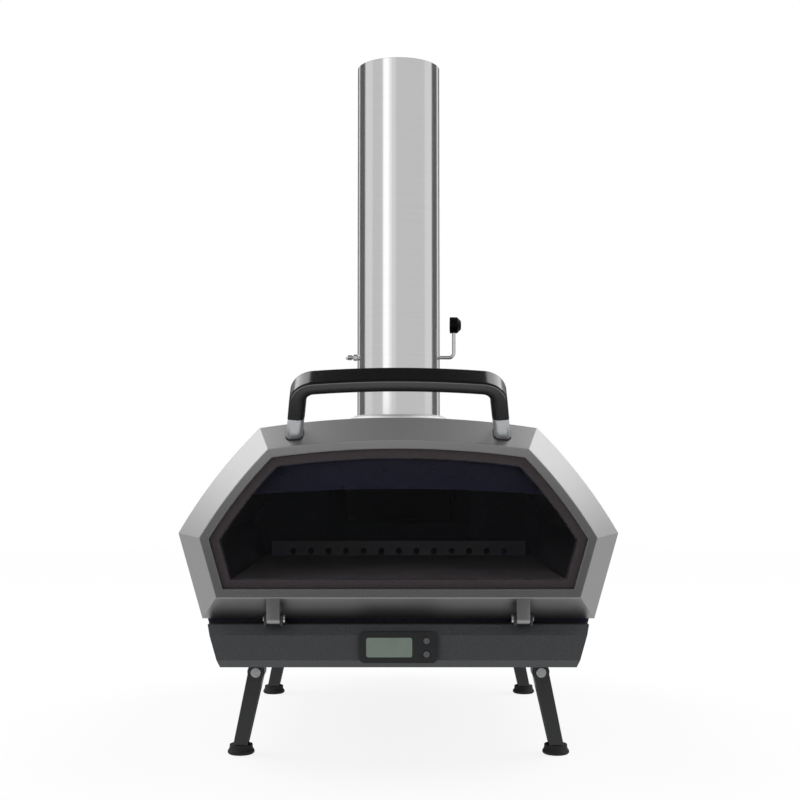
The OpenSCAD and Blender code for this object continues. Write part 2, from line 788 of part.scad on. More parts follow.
module fire_box() {
    color("#3b3d40") in_frame() difference() {
        union() {
            difference() {
                along_x(-box_w / 2, box_w / 2)
                    polygon([[box_v, box_z], [box_end, box_z], [box_end, box_rear_z],
                             [box_end - slope_run, box_top_z], [box_v, box_top_z]]);
                along_x(-box_w / 2 + box_t, box_w / 2 - box_t)
                    polygon([[box_v - 1, box_z + box_t], [box_end - box_t, box_z + box_t],
                             [box_end - box_t, inner_rear_z], [inner_roof_v, box_top_z - box_t],
                             [box_v - 1, box_top_z - box_t]]);
            }
            both_sides() along_x(knuckle_x + 0.4, knuckle_x + knuckle_w)
                translate(hatch_pos) circle(knuckle_r);
            both_sides() along_x(knuckle_x + 0.4, knuckle_x + knuckle_w)
                polygon([[roof_v - 16, box_top_z - 1], [roof_v - 1, box_top_z - 1],
                         hatch_pos + [-0.8, -3], hatch_pos + [-3, 1.2], [roof_v - 16, box_top_z + 3]]);
        }
        translate([-tray_w / 2 - 2, box_end - box_t - 1, tray_z - 1.5])
            cube([tray_w + 4, box_t + 2, tray_h + 4]);
        at_slope() translate([-drop_w / 2, 9, -10]) cube([drop_w, slope_len - 20, 20]);
        along_x(-span, span) translate(hatch_pos) circle(hatch_pin_r);
    }
}

module tray_runners() {
    color("#8d8f92") in_frame() both_sides() translate([tray_w / 2 - 18, box_v + 2, box_z + box_t])
        cube([12, box_d - box_t - 4, runner_h]);
}

module hatch_pin() {
    color("#b4b6b8") in_frame() at_slope() translate([0, hatch_axis.x, hatch_axis.y]) rotate([0, 90, 0])
        cylinder(h = 2 * (knuckle_x + knuckle_w + 2), r = hatch_pin_r, center = true);
}

module fuel_hatch() {
    color("#3b3d40") in_frame() at_slope() difference() {
        union() {
            translate([-hatch_w / 2, 2, loose]) cube([hatch_w, slope_len - 6, hatch_t]);
            translate([-hatch_w / 2, 2, loose]) cube([hatch_w, 2, 8]);
            both_sides() translate([knuckle_x - knuckle_w, hatch_axis.x, hatch_axis.y]) rotate([0, 90, 0])
                cylinder(h = knuckle_w, r = knuckle_r);
            both_sides() translate([knuckle_x - knuckle_w, slope_len - 10, loose])
                cube([knuckle_w, 13, hatch_axis.y - loose]);
        }
        translate([0, hatch_axis.x, hatch_axis.y]) rotate([0, 90, 0])
            cylinder(h = span, r = hatch_pin_r + running, center = true);
    }
}

module hatch_shield() {
    color("#8d8f92") in_frame() at_slope() {
        translate([5 - drop_w / 2, 14, -5]) cube([drop_w - 10, slope_len - 30, 1.5]);
        both_sides() for (y = [24, slope_len - 26])
            translate([drop_w / 2 - 19, y, -4]) cylinder(h = 4 + loose, r = 4);
    }
}

grip_out = 24;
grip_end = 19;
hatch_hold = hatch_w / 2 - 67;
module hatch_posts() {
    color("#a3a5a7") in_frame() at_slope() both_sides()
        translate([hatch_hold, 40, loose + hatch_t]) cylinder(h = grip_out, r = 4);
}

module hatch_grip() {
    color("#17181a") in_frame() at_slope() difference() {
        translate([0, 40, loose + hatch_t + grip_out]) rotate([0, 90, 0])
            cylinder(h = 2 * (hatch_hold + grip_end), r = grip_d / 2, center = true);
        both_sides() translate([hatch_hold, 40, 0]) cylinder(h = loose + hatch_t + grip_out, r = 4);
    }
}

slot_z = tray_z + 26;
slot_x = [for (i = [-1.5:1:1.5]) i * tray_w / 7.2];
module fuel_tray() {
    color("#6d6f72") in_frame() difference() {
        union() {
            translate([-tray_w / 2, box_v + 4, tray_z]) cube([tray_w, tray_face_v - box_v - 4, tray_h]);
            translate([-tray_w / 2 - 9, tray_face_v, tray_z - 3])
                cube([tray_w + 18, tray_face_t, tray_h + 10]);
        }
        translate([-tray_w / 2 + tray_t, box_v + 4 + tray_t, tray_z + tray_t])
            cube([tray_w - 2 * tray_t, tray_face_v - box_v - 4 - 2 * tray_t, tray_h]);
        for (x = slot_x) translate([x, 0, slot_z])
            along_y(tray_face_v - 4, tray_face_v + 4) rounded(10, 24, 4.9);
    }
}

grate_w = tray_w - 2 * tray_t - 4;
grate_v = box_v + 8;
grate_len = tray_face_v - grate_v - 4;
module fuel_grate() {
    color("#5b5c5e") in_frame() translate([0, grate_v, tray_z + tray_t]) difference() {
        translate([-grate_w / 2, 0, 0]) cube([grate_w, grate_len, grate_h]);
        translate([-grate_w / 2 + 2, -1, -1]) cube([grate_w - 4, grate_len + 2, grate_h - 1]);
        for (i = [-4:4]) translate([i * 21, grate_len / 2, grate_h - 3]) linear_extrude(6)
            rounded(9, grate_len - 24, 4.4);
    }
}

tray_grip_z = tray_z + tray_h - 10;
tray_hold = tray_w / 2 - 58;
module tray_posts() {
    color("#a3a5a7") in_frame() both_sides() translate([tray_hold, tray_face_v + tray_face_t, tray_grip_z])
        rotate([-90, 0, 0]) cylinder(h = tray_reach, r = 4);
}

module tray_grip() {
    color("#17181a") in_frame() difference() {
        translate([0, tray_face_v + tray_face_t + tray_reach, tray_grip_z]) rotate([0, 90, 0])
            cylinder(h = 2 * (tray_hold + grip_end), r = grip_d / 2, center = true);
        both_sides() translate([tray_hold, tray_face_v, tray_grip_z]) rotate([-90, 0, 0])
            cylinder(h = tray_face_t + tray_reach, r = 4);
    }
}

shutter_h = 34;
guide_x = tray_w / 2 - 26;
shutter_v = tray_face_v + tray_face_t;
module shutter_guides() {
    a = shutter_h / 2 + loose;
    color("#6d6f72") in_frame() translate([0, shutter_v, slot_z]) for (s = [0, 1])
        mirror([0, 0, s]) along_x(-guide_x, guide_x)
            polygon([[0, a], [2.4, a], [2.4, a - 3], [4, a - 3], [4, a + 5], [0, a + 5]]);
}

module air_shutter() {
    color("#a3a5a7") in_frame() {
        difference() {
            translate([0, 0, slot_z]) along_y(shutter_v + loose, shutter_v + 1.8)
                square([2 * guide_x - 40, shutter_h], center = true);
            for (x = slot_x) translate([x, 0, slot_z])
                along_y(shutter_v - 1, shutter_v + 4) rounded(10, 22, 4.9);
        }
        translate([0, shutter_v + 1.7, slot_z]) rotate([-90, 0, 0]) {
            cylinder(h = 8, r = 3);
            translate([0, 0, 8]) cylinder(h = 4, r1 = 5.5, r2 = 4.5);
        }
    }
}

cheek_gap = 0.4;
cheek_t = 2.5;
leg_r = leg_drop - 3;
leg_len = pivot_z / cos(leg_splay);
leg_foot_x = leg_x + (pivot_z - foot_h) * tan(leg_splay);

module at_pivots() {
    for (v = [leg_front_v, leg_rear_v]) both_sides() translate([leg_x, v, pivot_z]) children();
}

module leg_brackets() {
    out = leg_w / 2 + cheek_gap + cheek_t;
    color("#2b2c2e") in_frame() at_pivots() difference() {
        union() {
            translate([-20, -out, leg_drop - 2.5]) cube([40, 2 * out, 2.5]);
            for (y = [-out, out - cheek_t]) along_y(y, y + cheek_t) {
                circle(leg_pin_d / 2 + 5);
                translate([-leg_pin_d / 2 - 5, 0]) square([leg_pin_d + 10, leg_drop]);
            }
        }
        rotate([90, 0, 0]) cylinder(h = span, r = leg_pin_d / 2, center = true);
    }
}

module leg_pins() {
    half = leg_w / 2 + cheek_gap + cheek_t;
    color("#b4b6b8") in_frame() at_pivots() rotate([90, 0, 0]) {
        cylinder(h = 2 * half + 2, r = leg_pin_d / 2, center = true);
        for (s = [0, 1]) mirror([0, 0, s]) translate([0, 0, half])
            cylinder(h = 1.8, r = leg_pin_d / 2 + 2.2);
    }
}

// One right-hand leg, a channel open to the inside, with its pivot on the pin's line
module leg(v) {
    difference() {
        translate([leg_x, v, pivot_z]) rotate([0, -leg_splay, 0]) difference() {
            union() {
                along_y(-leg_w / 2, leg_w / 2) circle(leg_r);
                along_y(-leg_w / 2, leg_w / 2)
                    polygon([[1 - leg_r, 2], [leg_r - 1, 2], [leg_r - 2.5, -leg_len - 8],
                             [2.5 - leg_r, -leg_len - 8]]);
            }
            along_y(3 - leg_w / 2, leg_w / 2 - 3)
                polygon([[-leg_r - 4, -17], [leg_r - 5, -17], [leg_r - 6.5, -leg_len - 9],
                         [-leg_r - 4, -leg_len - 9]]);
            rotate([90, 0, 0]) cylinder(h = span, r = leg_pin_d / 2 + running, center = true);
        }
        translate([0, v - span / 2, foot_h - span]) cube([span, span, span]);
    }
}

module foot(v) {
    translate([leg_foot_x, v, 0]) rotate_extrude()
        polygon([[0, 0], [foot_d / 2 - 1, 0], [foot_d / 2, 1], [foot_d / 2, 4],
                 [foot_d / 2 - 2.5, foot_h], [0, foot_h]]);
}

module leg_front_left() {
    color("#2b2c2e") in_frame() mirror([1, 0, 0]) leg(leg_front_v);
}

module leg_front_right() {
    color("#2b2c2e") in_frame() leg(leg_front_v);
}

module leg_rear_left() {
    color("#2b2c2e") in_frame() mirror([1, 0, 0]) leg(leg_rear_v);
}

module leg_rear_right() {
    color("#2b2c2e") in_frame() leg(leg_rear_v);
}

module foot_front_left() {
    color("#17181a") in_frame() mirror([1, 0, 0]) foot(leg_front_v);
}

module foot_front_right() {
    color("#17181a") in_frame() foot(leg_front_v);
}

module foot_rear_left() {
    color("#17181a") in_frame() mirror([1, 0, 0]) foot(leg_rear_v);
}

module foot_rear_right() {
    color("#17181a") in_frame() foot(leg_rear_v);
}

outer_shell();
base_pan();
front_plate();
back_panel();
fibre_blanket();
chamber_liner();
stone_rails();
baking_stone();
flame_guard();
door_seal();
front_fascia();
flue_stub();
chimney_collar();
collar_screws();
chimney_tube();
damper_rod();
damper_plate();
damper_clips();
damper_nut();
damper_cap();
damper_knob();
door_frame();
front_gasket();
door_glass();
rear_gasket();
glass_retainer();
retainer_screws();
post_gaskets();
handle_posts();
handle_grip();
hinge_brackets();
hinge_pins();
gauge_housing();
gauge_lens();
power_button();
unit_button();
probe();
fire_box();
tray_runners();
hatch_pin();
fuel_hatch();
hatch_shield();
hatch_posts();
hatch_grip();
fuel_tray();
fuel_grate();
tray_posts();
tray_grip();
shutter_guides();
air_shutter();
leg_brackets();
leg_pins();
leg_front_left();
leg_front_right();
leg_rear_left();
leg_rear_right();
foot_front_left();
foot_front_right();
foot_rear_left();
foot_rear_right();
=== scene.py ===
import json
import math

import bmesh
import bpy
import numpy as np
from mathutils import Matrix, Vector

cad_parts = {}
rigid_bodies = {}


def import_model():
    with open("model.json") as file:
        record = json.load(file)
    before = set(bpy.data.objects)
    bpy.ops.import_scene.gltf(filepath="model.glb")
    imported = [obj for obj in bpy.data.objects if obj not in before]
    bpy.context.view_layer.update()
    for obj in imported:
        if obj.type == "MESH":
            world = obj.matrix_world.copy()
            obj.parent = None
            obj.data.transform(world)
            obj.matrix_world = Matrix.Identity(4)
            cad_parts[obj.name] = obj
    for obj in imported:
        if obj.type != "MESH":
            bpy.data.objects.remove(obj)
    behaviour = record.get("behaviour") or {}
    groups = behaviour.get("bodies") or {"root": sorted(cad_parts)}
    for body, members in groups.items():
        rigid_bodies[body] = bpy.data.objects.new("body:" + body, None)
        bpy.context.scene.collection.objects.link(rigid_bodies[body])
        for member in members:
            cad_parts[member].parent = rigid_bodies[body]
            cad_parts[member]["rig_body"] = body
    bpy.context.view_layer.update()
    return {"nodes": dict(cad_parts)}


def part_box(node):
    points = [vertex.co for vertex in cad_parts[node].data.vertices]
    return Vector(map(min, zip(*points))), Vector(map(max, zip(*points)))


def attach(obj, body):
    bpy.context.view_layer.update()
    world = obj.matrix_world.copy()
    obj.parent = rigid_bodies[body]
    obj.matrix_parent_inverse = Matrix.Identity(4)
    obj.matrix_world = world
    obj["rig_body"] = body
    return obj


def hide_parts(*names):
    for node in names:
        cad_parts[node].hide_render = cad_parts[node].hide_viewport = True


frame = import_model()


# Feet: four rubber feet, moulded in one piece and pushed on to the ends of the legs. They stand flat on
# the ground on a rounded tread, with a drawn-in waist above it.
def linear(code):
    """Linear RGBA of an sRGB hex colour: c / 12.92 up to 0.04045, else ((c + 0.055) / 1.055) ^ 2.4."""
    c = np.array([int(code[i:i + 2], 16) for i in (1, 3, 5)]) / 255
    return (*np.where(c <= 0.04045, c / 12.92, ((c + 0.055) / 1.055) ** 2.4), 1.0)


def add(tree, kind, sockets=None, **settings):
    """One node: settings are its properties, and a socket takes a value, or a link from an output."""
    made = tree.nodes.new(kind)
    for key, value in settings.items():
        setattr(made, key, value)
    for key, value in (sockets or {}).items():
        if isinstance(value, bpy.types.NodeSocket):
            tree.links.new(value, made.inputs[key])
        else:
            made.inputs[key].default_value = value
    return made


def finish_of(name, **sockets):
    """A material of one Principled shader, with plain values on its own sockets. Gives the material, its
    tree, the shader and the Object coordinates that its patterns are drawn on."""
    made = bpy.data.materials.new(name)
    made.use_nodes = True
    tree = made.node_tree
    shader = tree.nodes["Principled BSDF"]
    for key, value in sockets.items():
        shader.inputs[key.replace("_", " ")].default_value = value
    return made, tree, shader, add(tree, "ShaderNodeTexCoord").outputs["Object"]


def pattern(tree, shader, drawn, colours, gloss=None, bump=0.0):
    """Drives the shader from the factor of a drawn texture: the colour runs between two hex colours as it
    goes from 0.3 to 0.7, the roughness between the two values of gloss, and the surface rises by bump
    metres."""
    factor = drawn.outputs["Fac"]
    ramp = add(tree, "ShaderNodeValToRGB", {"Fac": factor})
    for element, position, colour in zip(ramp.color_ramp.elements, (0.3, 0.7), colours):
        element.position = position
        element.color = linear(colour)
    tree.links.new(ramp.outputs["Color"], shader.inputs["Base Color"])
    if gloss:
        rub = add(tree, "ShaderNodeMapRange", {"Value": factor, "To Min": gloss[0], "To Max": gloss[1]})
        tree.links.new(rub.outputs[0], shader.inputs["Roughness"])
    if bump:
        raised = add(tree, "ShaderNodeBump", {"Height": factor, "Distance": bump})
        tree.links.new(raised.outputs[0], shader.inputs["Normal"])


def placed(name, mesh, material, body, stands_for, sharp=30):
    """Puts a mesh into the scene with its finish, riding on its body. Edges over the angle shade sharp."""
    mesh.polygons.foreach_set("use_smooth", np.ones(len(mesh.polygons), bool))
    mesh.set_sharp_from_angle(angle=math.radians(sharp))
    mesh.materials.clear()
    mesh.materials.append(material)
    piece = bpy.data.objects.new(name, mesh)
    bpy.context.scene.collection.objects.link(piece)
    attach(piece, body)
    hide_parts(*stands_for)
    return piece


def surface(name, skins, material, body, stands_for, sharp=30):
    """Piece of one or more skins, each a grid of points (rows, columns, 3) whose columns go round, and
    whether it is a ring. A quad joins each four neighbours; a ring's last row joins its first, and any
    other skin is filled at its first and last rows. Faces turn outwards by the sign of the volume, the
    sum of p0 . (p1 x p2) over triangles."""
    faces, first = [], 0
    for grid, ring in skins:
        rows, columns = grid.shape[:2]
        index = first + np.arange(rows * columns).reshape(rows, columns)
        down = np.roll(index, -1, 0)[:rows if ring else rows - 1]
        here = index[:len(down)]
        quads = np.stack([here, np.roll(here, -1, 1), np.roll(down, -1, 1), down], -1).reshape(-1, 4)
        p = grid.reshape(-1, 3)[quads - first] - grid.mean((0, 1))
        volume = np.einsum("ij,ij->", p[:, 0], np.cross(p[:, 1], p[:, 2]) + np.cross(p[:, 2], p[:, 3]))
        turn = 1 if volume > 0 else -1
        faces += quads[:, ::turn].tolist()
        if not ring:
            faces += [index[0][::-turn].tolist(), index[-1][::turn].tolist()]
        first += rows * columns
    points = np.concatenate([grid.reshape(-1, 3) for grid, ring in skins])
    mesh = bpy.data.meshes.new(name)
    mesh.from_pydata(points.tolist(), [], faces)
    return placed(name, mesh, material, body, stands_for, sharp)


def eased(corners, cuts, steps=6):
    """Outline with each corner P eased by a quadratic Bezier curve from P - cut a to P + cut b, where a
    and b are the directions into and out of it: (1-t)^2 P0 + 2 t (1-t) P + t^2 P1. A point a fifth of the
    cut further out on each side keeps straight runs flat, and points that fall together become one."""
    p = np.array(corners, float)[:, None]
    cut = np.array(cuts, float)[:, None, None]
    into, out = p - np.roll(p, 1, 0), np.roll(p, -1, 0) - p
    a = into / np.linalg.norm(into, axis=2, keepdims=True) * cut
    b = out / np.linalg.norm(out, axis=2, keepdims=True) * cut
    t = np.linspace(0, 1, steps)[None, :, None]
    curve = (1 - t) ** 2 * (p - a) + 2 * t * (1 - t) * p + t ** 2 * (p + b)
    line = np.concatenate([p - 1.2 * a, curve, p + 1.2 * b], 1).reshape(-1, 2)
    return line[np.linalg.norm(line - np.roll(line, 1, 0), axis=1) > 1e-9]


def turned(outline, centre, axis="z", steps=64):
    """Surface of revolution: each (radius, height) of the outline goes round the centre, with the height
    along the axis: x = r cos a, y = r sin a, z = h, or h along x for a piece that lies across."""
    a = np.linspace(0, 2 * np.pi, steps, endpoint=False)
    r, h = outline[:, :1], outline[:, 1:]
    ring = [r * np.cos(a), r * np.sin(a), h + 0 * a]
    if axis == "x":
        ring = [ring[2], ring[0], ring[1]]
    return np.stack(ring, -1) + np.array(centre)


rubber, tree, shader, place = finish_of("moulded rubber", Specular_IOR_Level=0.35)
# moulded rubber is matt and near black; its grain is drawn 1.5 mm across, coarser than the real 0.3 mm, so
# that it shows
grain = add(tree, "ShaderNodeTexNoise", {"Vector": place, "Scale": 1 / 0.0015, "Detail": 3.0})
pattern(tree, shader, grain, ("#151516", "#232324"), (0.72, 0.86), 0.0002)
# a turned outline starts and ends this far from its axis, on a small flat
pole = 0.0001
corners = ("front_left", "front_right", "rear_left", "rear_right")
for corner in corners:
    low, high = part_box("foot_" + corner)
    foot_r, foot_h = (high.x - low.x) / 2, high.z
    edge_r, waist_r = foot_r - 0.0018, foot_r - 0.0025
    tread = eased([(pole, 0), (edge_r, 0), (foot_r, 0.0016), (foot_r, 0.0042), (edge_r, 0.0064),
                   (waist_r + 0.0001, 0.009), (waist_r, foot_h), (pole, foot_h)],
                  [0, 0.0006, 0.0009, 0.0009, 0.0012, 0.0008, 0.0006, 0])
    middle = ((low.x + high.x) / 2, (low.y + high.y) / 2, 0)
    surface("rubber_foot_" + corner, [(turned(tread, middle), False)], rubber,
            f"leg_{corner}_body", ["foot_" + corner])


def values_of(items, key, width, kind):
    """One property of all items of a mesh, as an array with a row for each item."""
    values = np.empty(len(items) * width, kind)
    items.foreach_get(key, values)
    return values.reshape(-1, width)


def softened(name, node, ease, material, fold=0.0):
    """Copy of a CAD node with eased edges. Its loose triangles are merged and flat ones joined. An edge's
    angle is the arc cosine of n1 . n2, the normals of its first and last face. Over 25 degrees the edge
    gets a bevel of the ease, or of the fold's radius where it is under 85 and runs over 100 mm from front
    to back."""
    merged = bmesh.new()
    merged.from_mesh(frame["nodes"][node].data)
    bmesh.ops.remove_doubles(merged, verts=merged.verts, dist=2e-6)
    bmesh.ops.dissolve_limit(merged, angle_limit=math.radians(0.3), verts=merged.verts, edges=merged.edges)
    mesh = bpy.data.meshes.new(name)
    merged.to_mesh(mesh)
    merged.free()
    sides = values_of(mesh.polygons, "loop_total", 1, np.int32)[:, 0]
    face_of_corner = np.repeat(np.arange(len(sides)), sides)
    edge_of_corner = values_of(mesh.loops, "edge_index", 1, np.int32)[:, 0]
    first, last = np.zeros((2, len(mesh.edges)), int)
    first[edge_of_corner[::-1]] = face_of_corner[::-1]
    last[edge_of_corner] = face_of_corner
    normal = values_of(mesh.polygons, "normal", 3, np.float32)
    angle = np.degrees(np.arccos(np.clip((normal[first] * normal[last]).sum(1), -1, 1)))
    depth = values_of(mesh.vertices, "co", 3, np.float32)[:, 1]
    run = abs(np.diff(depth[values_of(mesh.edges, "vertices", 2, np.int32)])[:, 0])
    width = max(ease, fold)
    folded = (fold > 0) & (angle < 85) & (run > 0.1)
    weight = (angle > 25) * np.where(folded, 1.0, ease / width)
    weights = mesh.attributes.new("bevel_weight_edge", "FLOAT", "EDGE")
    weights.data.foreach_set("value", weight.astype(np.float32))
    piece = placed(name, mesh, material, frame["nodes"][node]["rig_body"], [node], sharp=25)
    bevel = piece.modifiers.new("eased edges", "BEVEL")
    bevel.limit_method = "WEIGHT"
    bevel.width = width
    bevel.segments = 3 if fold else 2
    bevel.use_clamp_overlap = False
    bevel.loop_slide = False
    bevel.harden_normals = True
    return piece


coat, tree, shader, place = finish_of("black powder coat on steel")
# powder coat is a satin black with the soft orange peel of its flow marks, 1.6 mm apart
peel = add(tree, "ShaderNodeTexNoise", {"Vector": place, "Scale": 1 / 0.0016, "Detail": 2.0})
pattern(tree, shader, peel, ("#17181a", "#212225"), (0.4, 0.56), 0.0001)
for corner in corners:
    softened("leg_channel_" + corner, "leg_" + corner, 0.0007, coat)
softened("leg_clevises", "leg_brackets", 0.0005, coat)

zinc, tree, shader, place = finish_of("zinc-plated steel", Metallic=1.0)
# zinc plate is a bright cool grey, its gloss broken by turning marks 2 mm apart
marks = add(tree, "ShaderNodeTexNoise", {"Vector": place, "Scale": 1 / 0.002, "Detail": 4.0})
pattern(tree, shader, marks, ("#a7a9ac", "#c2c3c4"), (0.22, 0.38))
softened("leg_pivots", "leg_pins", 0.0004, zinc)


# Casing: steel sheet, rolled and folded, with a charcoal textured powder coat. The shell runs from the
# front plate to the back panel, a slotted pan closes it below, and a fascia fills the space under the
# door.
def dress(material, *names):
    """Puts the material on the CAD nodes of these names."""
    for name in names:
        mesh = frame["nodes"][name].data
        mesh.materials.clear()
        mesh.materials.append(material)


charcoal, tree, shader, place = finish_of("charcoal textured powder coat")
# textured coat is half matt and leathery, with a grain of 2.1 mm
leather = add(tree, "ShaderNodeTexNoise", {"Vector": place, "Scale": 1 / 0.0021, "Detail": 3.0})
pattern(tree, shader, leather, ("#2b2d30", "#3b3d40"), (0.46, 0.64), 0.00015)
softened("casing_shell", "outer_shell", 0.0004, charcoal, fold=0.002)
softened("casing_back", "back_panel", 0.0005, charcoal)
softened("casing_fascia", "front_fascia", 0.0003, charcoal)
softened("casing_pan", "base_pan", 0.0005, coat)

# Insulation: a blanket of white ceramic fibre, needled into a soft felt. It is wrapped round the chamber
# and held between chamber and shell.
fibre, tree, shader, place = finish_of("ceramic fibre blanket")
# the felt is chalky and wholly matt, with tufts 4.5 mm across
wool = add(tree, "ShaderNodeTexNoise", {"Vector": place, "Scale": 1 / 0.0045, "Detail": 6.0})
pattern(tree, shader, wool, ("#d6d2c8", "#efece6"), (0.9, 1.0), 0.0006)
dress(fibre, "fibre_blanket")

# Chamber: a liner folded from stainless sheet, with two rails that carry the stone, a guard before the
# fire and the flue stub welded to its roof. The hatch's heat shield is of the same sheet.
tinted, tree, shader, place = finish_of("heat-tinted stainless steel", Metallic=1.0)
# the fire tints the sheet straw and blue in clouds 125 mm across
cloud = add(tree, "ShaderNodeTexNoise", {"Vector": place, "Scale": 1 / 0.125, "Detail": 4.0})
pattern(tree, shader, cloud, ("#87888f", "#a0937c"), (0.28, 0.46))
dress(tinted, "chamber_liner", "flue_stub", "hatch_shield")
softened("stone_rail_pair", "stone_rails", 0.0004, tinted)
softened("fire_guard", "flame_guard", 0.0004, tinted)

# Baking stone: a square slab of cordierite, pressed and fired, with rounded edges. It lies loose on the
# two rails.
cordierite, tree, shader, place = finish_of("fired cordierite")
# the fired body is dry and buff, speckled with grog grains 2.4 mm across
grog = add(tree, "ShaderNodeTexNoise", {"Vector": place, "Scale": 1 / 0.0024, "Detail": 5.0})
pattern(tree, shader, grog, ("#b3a286", "#ded3c0"), (0.85, 0.98), 0.0003)
softened("stone_slab", "baking_stone", 0.002, cordierite)

# Front plate: sheet steel pressed round the arched mouth and fired with a blue-black vitreous enamel. It
# closes the casing's front, and the door shuts on the seal that it carries.
enamel, tree, shader, place = finish_of("blue-black vitreous enamel", Coat_Weight=0.6, Coat_Roughness=0.12)
# enamel is deep and glassy under a clear gloss, with flow ripples 5.5 mm long
flow = add(tree, "ShaderNodeTexNoise", {"Vector": place, "Scale": 1 / 0.0055, "Detail": 2.0})
pattern(tree, shader, flow, ("#151329", "#1c1a38"), (0.24, 0.36), 0.00005)
softened("mouth_plate", "front_plate", 0.0005, enamel)

# Seals: tape knitted from glass fibre and dressed with graphite. It lies between door and plate, on both
# sides of the glass and under the handle's posts.
tape, tree, shader, place = finish_of("graphited glass-fibre tape")
# the tape is a dull brown-black, rough with stitches 1.8 mm long
knit = add(tree, "ShaderNodeTexNoise", {"Vector": place, "Scale": 1 / 0.0018, "Detail": 3.0})
pattern(tree, shader, knit, ("#272123", "#3a3335"), (0.78, 0.92), 0.0003)
dress(tape, "door_seal", "front_gasket", "rear_gasket", "post_gaskets")

# Thermometer: a moulded housing clipped into the fascia, with a clear window over a grey display and two
# silicone keys. A bent steel probe runs from it to the underside of the stone.
moulded, tree, shader, place = finish_of("moulded black ABS")
# moulded ABS is black with a low sheen; its spark-eroded grain is drawn 1.1 mm across, coarser than the
# real 0.1 mm, so that it shows
spark = add(tree, "ShaderNodeTexNoise", {"Vector": place, "Scale": 1 / 0.0011, "Detail": 2.0})
pattern(tree, shader, spark, ("#131416", "#1d1e20"), (0.36, 0.5), 0.00006)
softened("gauge_bezel", "gauge_housing", 0.0006, moulded)

window, tree, shader, place = finish_of("display behind polycarbonate", Roughness=0.35, Coat_Weight=1.0,
                                        Coat_Roughness=0.03)
# an unlit display is grey-green with faint clouds 17 mm across, under the sharp gloss of its window
haze = add(tree, "ShaderNodeTexNoise", {"Vector": place, "Scale": 1 / 0.017, "Detail": 1.0})
pattern(tree, shader, haze, ("#6b786e", "#6f7c72"))
softened("gauge_window", "gauge_lens", 0.0004, window)

silicone, tree, shader, place = finish_of("grey silicone rubber")
# silicone is grey and soft to the light, with bloom specks 1.4 mm across
bloom = add(tree, "ShaderNodeTexNoise", {"Vector": place, "Scale": 1 / 0.0014, "Detail": 2.0})
pattern(tree, shader, bloom, ("#45474b", "#505257"), (0.55, 0.68))
softened("key_power", "power_button", 0.0009, silicone)
softened("key_unit", "unit_button", 0.0009, silicone)
dress(zinc, "probe")

# Fire box: welded steel plate behind the chamber, in the casing's coat. A hatch on its slope swings on a
# pin through welded knuckles, and two runners inside carry the fuel tray.
softened("fire_casing", "fire_box", 0.0005, charcoal)
softened("hatch_flap", "fuel_hatch", 0.0005, charcoal)
dress(zinc, "hatch_pin", "tray_runners")

# Fuel tray: a drawer of bare steel with a slotted grate. An air shutter of brushed stainless sheet slides
# over the slots in its face, between two guides.
darkened, tree, shader, place = finish_of("heat-darkened steel", Metallic=1.0)
# the fire darkens bare steel in dull blotches of scale, 62 mm across and grainy at their edges
scale = add(tree, "ShaderNodeTexNoise",
            {"Vector": place, "Scale": 1 / 0.0625, "Detail": 8.0, "Roughness": 0.7})
pattern(tree, shader, scale, ("#4b4a4b", "#6b6a69"), (0.42, 0.62))
softened("tray_drawer", "fuel_tray", 0.0004, darkened)
softened("tray_grate", "fuel_grate", 0.0004, darkened)
softened("tray_guides", "shutter_guides", 0.0003, darkened)

brushed, tree, shader, place = finish_of("brushed stainless steel", Metallic=1.0)
# brushing streaks the gloss along x, in lines 80 mm long and 1 mm apart, coarser than the real 0.2 mm, so
# that they show
lines = add(tree, "ShaderNodeMapping", {"Vector": place, "Scale": (1 / 0.08, 1 / 0.001, 1 / 0.001)})
brush = add(tree, "ShaderNodeTexNoise", {"Vector": lines.outputs[0], "Scale": 1.0, "Detail": 3.0})
pattern(tree, shader, brush, ("#9fa1a3", "#b3b5b7"), (0.28, 0.42))
softened("air_slide", "air_shutter", 0.0003, brushed)

# Rear grips: two bars of black nylon, moulded with a groove near each end, one on the hatch and one on
# the tray. Each is pushed on to two anodised aluminium posts.
satin, tree, shader, place = finish_of("satin anodised aluminium", Metallic=1.0)
# anodised aluminium has an even satin gloss; its blasted grain is drawn 1.7 mm across, coarser than the
# real 0.2 mm, so that it shows
grit = add(tree, "ShaderNodeTexNoise", {"Vector": place, "Scale": 1 / 0.0017, "Detail": 3.0})
pattern(tree, shader, grit, ("#a8aaac", "#b8babc"), (0.28, 0.36))
dress(satin, "hatch_posts", "tray_posts")

nylon, tree, shader, place = finish_of("black glass-filled nylon", Specular_IOR_Level=0.14)
# filled nylon is a deep black with a soft narrow gloss; its mould grain is drawn 1 mm across, coarser than
# the real 0.1 mm, so that it shows
mould = add(tree, "ShaderNodeTexNoise", {"Vector": place, "Scale": 1 / 0.001, "Detail": 2.0})
pattern(tree, shader, mould, ("#070708", "#0b0b0c"), (0.17, 0.23), 0.00001)
bar_r, groove_r = 0.007, 0.0062
bar_end = np.array([(pole, 0), (0.0052, 0), (bar_r, 0.004), (bar_r, 0.012), (groove_r, 0.0128),
                    (groove_r, 0.0142), (bar_r, 0.015)])
cuts = [0, 0.0012, 0.0022, 0.0003, 0.0003, 0.0003, 0.0003]
for name, body, node in (("hatch_hold", "hatch", "hatch_grip"), ("tray_hold", "tray", "tray_grip")):
    low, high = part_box(node)
    far_end = bar_end[::-1] * (1, -1) + (0, high.x - low.x)
    outline = eased(np.concatenate([bar_end, far_end]), cuts + cuts[::-1])
    spot = (low.x, (low.y + high.y) / 2, (low.z + high.z) / 2)
    surface(name, [(turned(outline, spot, axis="x", steps=48), False)], nylon, body, [node])

